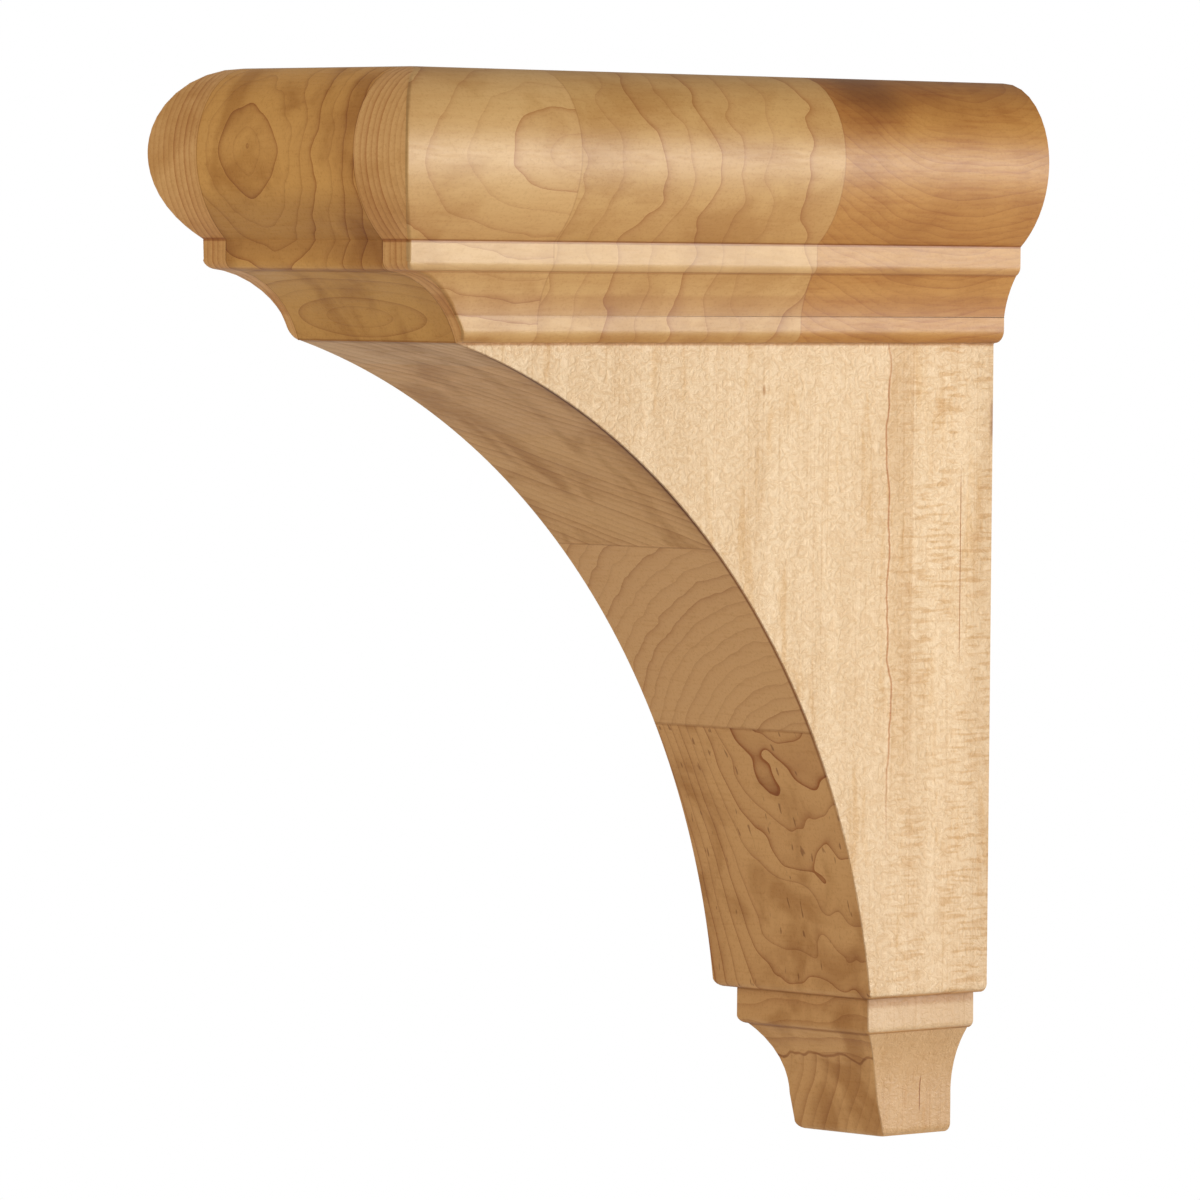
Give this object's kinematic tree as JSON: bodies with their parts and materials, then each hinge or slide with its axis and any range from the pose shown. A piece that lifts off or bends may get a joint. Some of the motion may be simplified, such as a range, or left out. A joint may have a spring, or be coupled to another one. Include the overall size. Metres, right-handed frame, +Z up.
{
  "type": "wooden corbel bracket",
  "caption": "Wall corbel with a concave arched front, a rolled crown moulding round the front and sides, and a small coved foot.",
  "frame": {"origin": "middle of the flat back face that lies against the wall, half-way up", "axes": "+Z up, +Y into the wall, so the front faces -Y; +X to the right as seen from the front"},
  "size_m": [0.1208, 0.2808, 0.3434],
  "materials": {
    "body_wood": "raw sanded maple, satin",
    "moulding_wood": "raw sanded maple, satin"
  },
  "bodies": {
    "root": {"body": "body_wood", "side_moulding_right": "moulding_wood", "side_moulding_left": "moulding_wood"}
  },
  "joints": []
}
